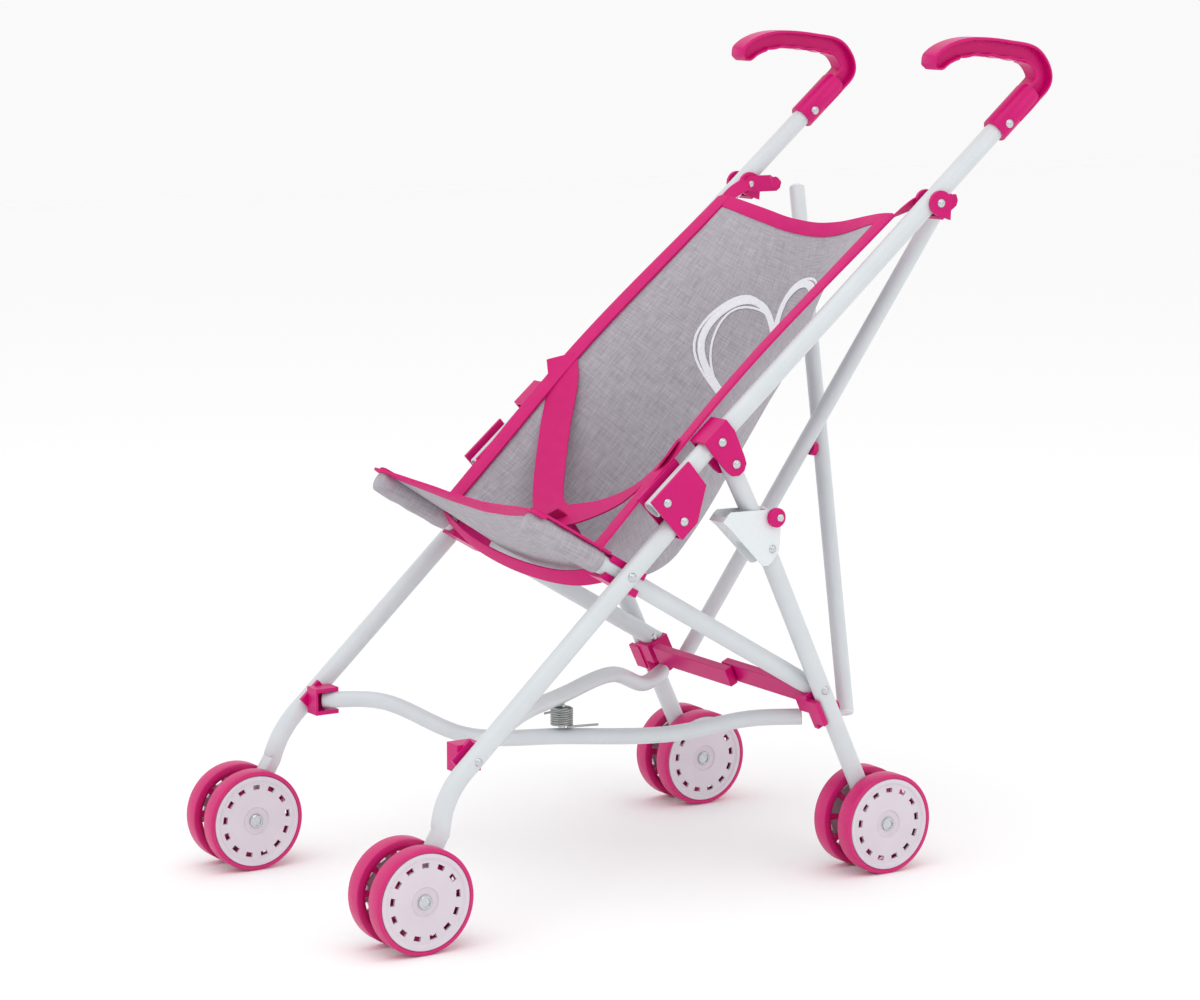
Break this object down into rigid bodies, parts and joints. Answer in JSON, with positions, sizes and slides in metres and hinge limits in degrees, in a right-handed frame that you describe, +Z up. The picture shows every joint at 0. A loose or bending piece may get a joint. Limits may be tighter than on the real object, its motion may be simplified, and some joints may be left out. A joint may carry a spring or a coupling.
{
  "type": "doll stroller",
  "caption": "Folding umbrella-style doll stroller with tube frame, hook handles, crossed braces, twin wheels, sling seat and harness.",
  "frame": {"origin": "on the floor, under the middle of the overall box", "axes": "+Z up, the front of the stroller faces -Y, the handles are at +Y; X runs across, and the left side of the stroller is +X"},
  "size_m": [0.2754, 0.5265, 0.5554],
  "materials": {
    "white_tube": "powder coated steel tube, satin gloss",
    "pink_plastic": "moulded, lightly glossy",
    "wheel_pink": "moulded, smooth tread",
    "disc_white": "moulded pale pinkish white",
    "latch_white": "moulded, satin",
    "bright_steel": "zinc plated, bright",
    "grey_fabric": "woven melange canvas, matt",
    "pink_webbing": "woven polyester tape"
  },
  "bodies": {
    "left_front": {"left_front_leg": "white_tube", "left_hinge_clip": "pink_plastic", "left_front_axle": "bright_steel"},
    "left_handle": {"left_handle_tube": "white_tube", "left_handle_grip": "pink_plastic", "left_rear_leg_bracket": "pink_plastic", "backrest": "grey_fabric"},
    "left_rear": {"left_rear_leg_upper": "white_tube", "left_rear_leg": "white_tube", "left_seat_rail": "white_tube", "left_rail_bracket": "pink_plastic", "left_rear_bracket": "pink_plastic", "left_rear_axle": "bright_steel", "seat": "grey_fabric", "harness": "pink_webbing"},
    "left_top_bracket": {"left_top_bracket": "pink_plastic"},
    "left_latch": {"left_latch": "latch_white", "left_latch_roller": "pink_plastic"},
    "left_front_bracket": {"left_front_bracket": "pink_plastic"},
    "left_front_outer_wheel": {"left_front_outer_wheel": "wheel_pink", "left_front_outer_disc": "disc_white"},
    "left_front_inner_wheel": {"left_front_inner_wheel": "wheel_pink", "left_front_inner_disc": "disc_white"},
    "left_rear_outer_wheel": {"left_rear_outer_wheel": "wheel_pink", "left_rear_outer_disc": "disc_white"},
    "left_rear_inner_wheel": {"left_rear_inner_wheel": "wheel_pink", "left_rear_inner_disc": "disc_white"},
    "left_back_brace": {"left_back_brace": "white_tube", "back_cross_spacer": "pink_plastic"},
    "left_bottom_brace": {"left_bottom_brace": "white_tube", "bottom_cross_bolt": "bright_steel", "brace_spring": "bright_steel"},
    "left_link": {"left_link_arm": "pink_plastic"},
    "right_front": {"right_front_leg": "white_tube", "right_hinge_clip": "pink_plastic", "right_front_axle": "bright_steel"},
    "right_handle": {"right_handle_tube": "white_tube", "right_handle_grip": "pink_plastic", "right_rear_leg_bracket": "pink_plastic"},
    "right_rear": {"right_rear_leg_upper": "white_tube", "right_rear_leg": "white_tube", "right_seat_rail": "white_tube", "right_rail_bracket": "pink_plastic", "right_rear_bracket": "pink_plastic", "right_rear_axle": "bright_steel"},
    "right_top_bracket": {"right_top_bracket": "pink_plastic"},
    "right_latch": {"right_latch": "latch_white", "right_latch_roller": "pink_plastic"},
    "right_front_bracket": {"right_front_bracket": "pink_plastic"},
    "right_front_outer_wheel": {"right_front_outer_wheel": "wheel_pink", "right_front_outer_disc": "disc_white"},
    "right_front_inner_wheel": {"right_front_inner_wheel": "wheel_pink", "right_front_inner_disc": "disc_white"},
    "right_rear_outer_wheel": {"right_rear_outer_wheel": "wheel_pink", "right_rear_outer_disc": "disc_white"},
    "right_rear_inner_wheel": {"right_rear_inner_wheel": "wheel_pink", "right_rear_inner_disc": "disc_white"},
    "right_back_brace": {"right_back_brace": "white_tube"},
    "right_bottom_brace": {"right_bottom_brace": "white_tube"},
    "right_link": {"right_link_arm": "pink_plastic"}
  },
  "joints": [
    {"name": "left_handle_swing", "type": "hinge", "parent": "left_front", "child": "left_handle", "pos_m": [0.112, -0.0435, 0.2646], "axis": [1, 0, 0], "range_deg": [0, 70]},
    {"name": "right_side_close", "type": "slide", "parent": "left_front", "child": "right_front", "axis": [1, 0, 0], "range_m": [0, 0.1501], "deforming": ["seat", "backrest", "harness"]},
    {"name": "left_rear_swing", "type": "hinge", "parent": "left_front", "child": "left_rear", "pos_m": [0.0985, -0.0678, 0.2183], "axis": [1, 0, 0], "range_deg": [0, 37.02]},
    {"name": "left_latch_lift", "type": "hinge", "parent": "left_rear", "child": "left_latch", "pos_m": [0.112, 0.0384, 0.2274], "axis": [1, 0, 0], "range_deg": [-15.02, 0]},
    {"name": "left_top_bracket_turn", "type": "hinge", "parent": "left_handle", "child": "left_top_bracket", "pos_m": [0.112, 0.1705, 0.447], "axis": [1, 0, 0], "range_deg": [-15.39, 0]},
    {"name": "left_back_brace_turn", "type": "hinge", "parent": "left_top_bracket", "child": "left_back_brace", "pos_m": [0.096, 0.1985, 0.445], "axis": [0, 0.9693, -0.2459], "range_deg": [-23.03, 0]},
    {"name": "left_front_bracket_turn", "type": "hinge", "parent": "left_front", "child": "left_front_bracket", "pos_m": [0.102, -0.1809, 0.1123], "axis": [1, 0, 0], "range_deg": [0, 20.91]},
    {"name": "left_bottom_brace_turn", "type": "hinge", "parent": "left_front_bracket", "child": "left_bottom_brace", "pos_m": [0.097, -0.179, 0.112], "axis": [0, 0, 1], "range_deg": [-28.72, 0], "deforming": ["brace_spring"]},
    {"name": "left_link_fold", "type": "hinge", "parent": "left_rear", "child": "left_link", "pos_m": [0.084, 0.0855, 0.12], "axis": [0, 0.9054, 0.4245], "range_deg": [0, 83.87]},
    {"name": "left_front_outer_wheel_roll", "type": "hinge", "parent": "left_front", "child": "left_front_outer_wheel", "pos_m": [0.131, -0.2295, 0.034], "axis": [1, 0, 0], "continuous": true},
    {"name": "left_front_inner_wheel_roll", "type": "hinge", "parent": "left_front", "child": "left_front_inner_wheel", "pos_m": [0.104, -0.2295, 0.034], "axis": [1, 0, 0], "continuous": true},
    {"name": "left_rear_outer_wheel_roll", "type": "hinge", "parent": "left_rear", "child": "left_rear_outer_wheel", "pos_m": [0.1255, 0.1269, 0.034], "axis": [1, 0, 0], "continuous": true},
    {"name": "left_rear_inner_wheel_roll", "type": "hinge", "parent": "left_rear", "child": "left_rear_inner_wheel", "pos_m": [0.0985, 0.1269, 0.034], "axis": [1, 0, 0], "continuous": true},
    {"name": "right_handle_swing", "type": "hinge", "parent": "right_front", "child": "right_handle", "pos_m": [-0.112, -0.0435, 0.2646], "axis": [1, 0, 0], "range_deg": [0, 70.02]},
    {"name": "right_rear_swing", "type": "hinge", "parent": "right_front", "child": "right_rear", "pos_m": [-0.0985, -0.0678, 0.2183], "axis": [1, 0, 0], "range_deg": [0, 37.02]},
    {"name": "right_latch_lift", "type": "hinge", "parent": "right_rear", "child": "right_latch", "pos_m": [-0.112, 0.0384, 0.2274], "axis": [1, 0, 0], "range_deg": [-15.02, 0]},
    {"name": "right_top_bracket_turn", "type": "hinge", "parent": "right_handle", "child": "right_top_bracket", "pos_m": [-0.112, 0.1705, 0.447], "axis": [1, 0, 0], "range_deg": [-15.39, 0]},
    {"name": "right_back_brace_turn", "type": "hinge", "parent": "right_top_bracket", "child": "right_back_brace", "pos_m": [-0.096, 0.1985, 0.445], "axis": [0, -0.9693, 0.2459], "range_deg": [-23.03, 0]},
    {"name": "right_front_bracket_turn", "type": "hinge", "parent": "right_front", "child": "right_front_bracket", "pos_m": [-0.102, -0.1809, 0.1123], "axis": [1, 0, 0], "range_deg": [0, 20.91]},
    {"name": "right_bottom_brace_turn", "type": "hinge", "parent": "right_front_bracket", "child": "right_bottom_brace", "pos_m": [-0.097, -0.179, 0.112], "axis": [0, 0, -1], "range_deg": [-28.72, 0]},
    {"name": "right_link_fold", "type": "hinge", "parent": "right_rear", "child": "right_link", "pos_m": [-0.084, 0.0855, 0.12], "axis": [0, -0.9054, -0.4245], "range_deg": [0, 83.87]},
    {"name": "right_front_outer_wheel_roll", "type": "hinge", "parent": "right_front", "child": "right_front_outer_wheel", "pos_m": [-0.131, -0.2295, 0.034], "axis": [1, 0, 0], "continuous": true},
    {"name": "right_front_inner_wheel_roll", "type": "hinge", "parent": "right_front", "child": "right_front_inner_wheel", "pos_m": [-0.104, -0.2295, 0.034], "axis": [1, 0, 0], "continuous": true},
    {"name": "right_rear_outer_wheel_roll", "type": "hinge", "parent": "right_rear", "child": "right_rear_outer_wheel", "pos_m": [-0.1255, 0.1269, 0.034], "axis": [1, 0, 0], "continuous": true},
    {"name": "right_rear_inner_wheel_roll", "type": "hinge", "parent": "right_rear", "child": "right_rear_inner_wheel", "pos_m": [-0.0985, 0.1269, 0.034], "axis": [1, 0, 0], "continuous": true}
  ],
  "couplings": [
    {"joint": "right_side_close", "follows": "left_handle_swing", "m_per_rad": 0.12278},
    {"joint": "left_rear_swing", "follows": "left_handle_swing", "ratio": 0.52857},
    {"joint": "left_latch_lift", "follows": "left_handle_swing", "ratio": -0.21429},
    {"joint": "left_top_bracket_turn", "follows": "left_handle_swing", "ratio": -0.21953},
    {"joint": "left_back_brace_turn", "follows": "left_handle_swing", "ratio": -0.32868},
    {"joint": "left_front_bracket_turn", "follows": "left_handle_swing", "ratio": 0.29844},
    {"joint": "left_bottom_brace_turn", "follows": "left_handle_swing", "ratio": -0.41004},
    {"joint": "left_link_fold", "follows": "left_handle_swing", "ratio": 1.1978},
    {"joint": "right_handle_swing", "follows": "left_handle_swing", "ratio": 1},
    {"joint": "right_rear_swing", "follows": "left_handle_swing", "ratio": 0.52857},
    {"joint": "right_latch_lift", "follows": "left_handle_swing", "ratio": -0.21429},
    {"joint": "right_top_bracket_turn", "follows": "left_handle_swing", "ratio": -0.21953},
    {"joint": "right_back_brace_turn", "follows": "left_handle_swing", "ratio": -0.32868},
    {"joint": "right_front_bracket_turn", "follows": "left_handle_swing", "ratio": 0.29844},
    {"joint": "right_bottom_brace_turn", "follows": "left_handle_swing", "ratio": -0.41004},
    {"joint": "right_link_fold", "follows": "left_handle_swing", "ratio": 1.1978}
  ]
}
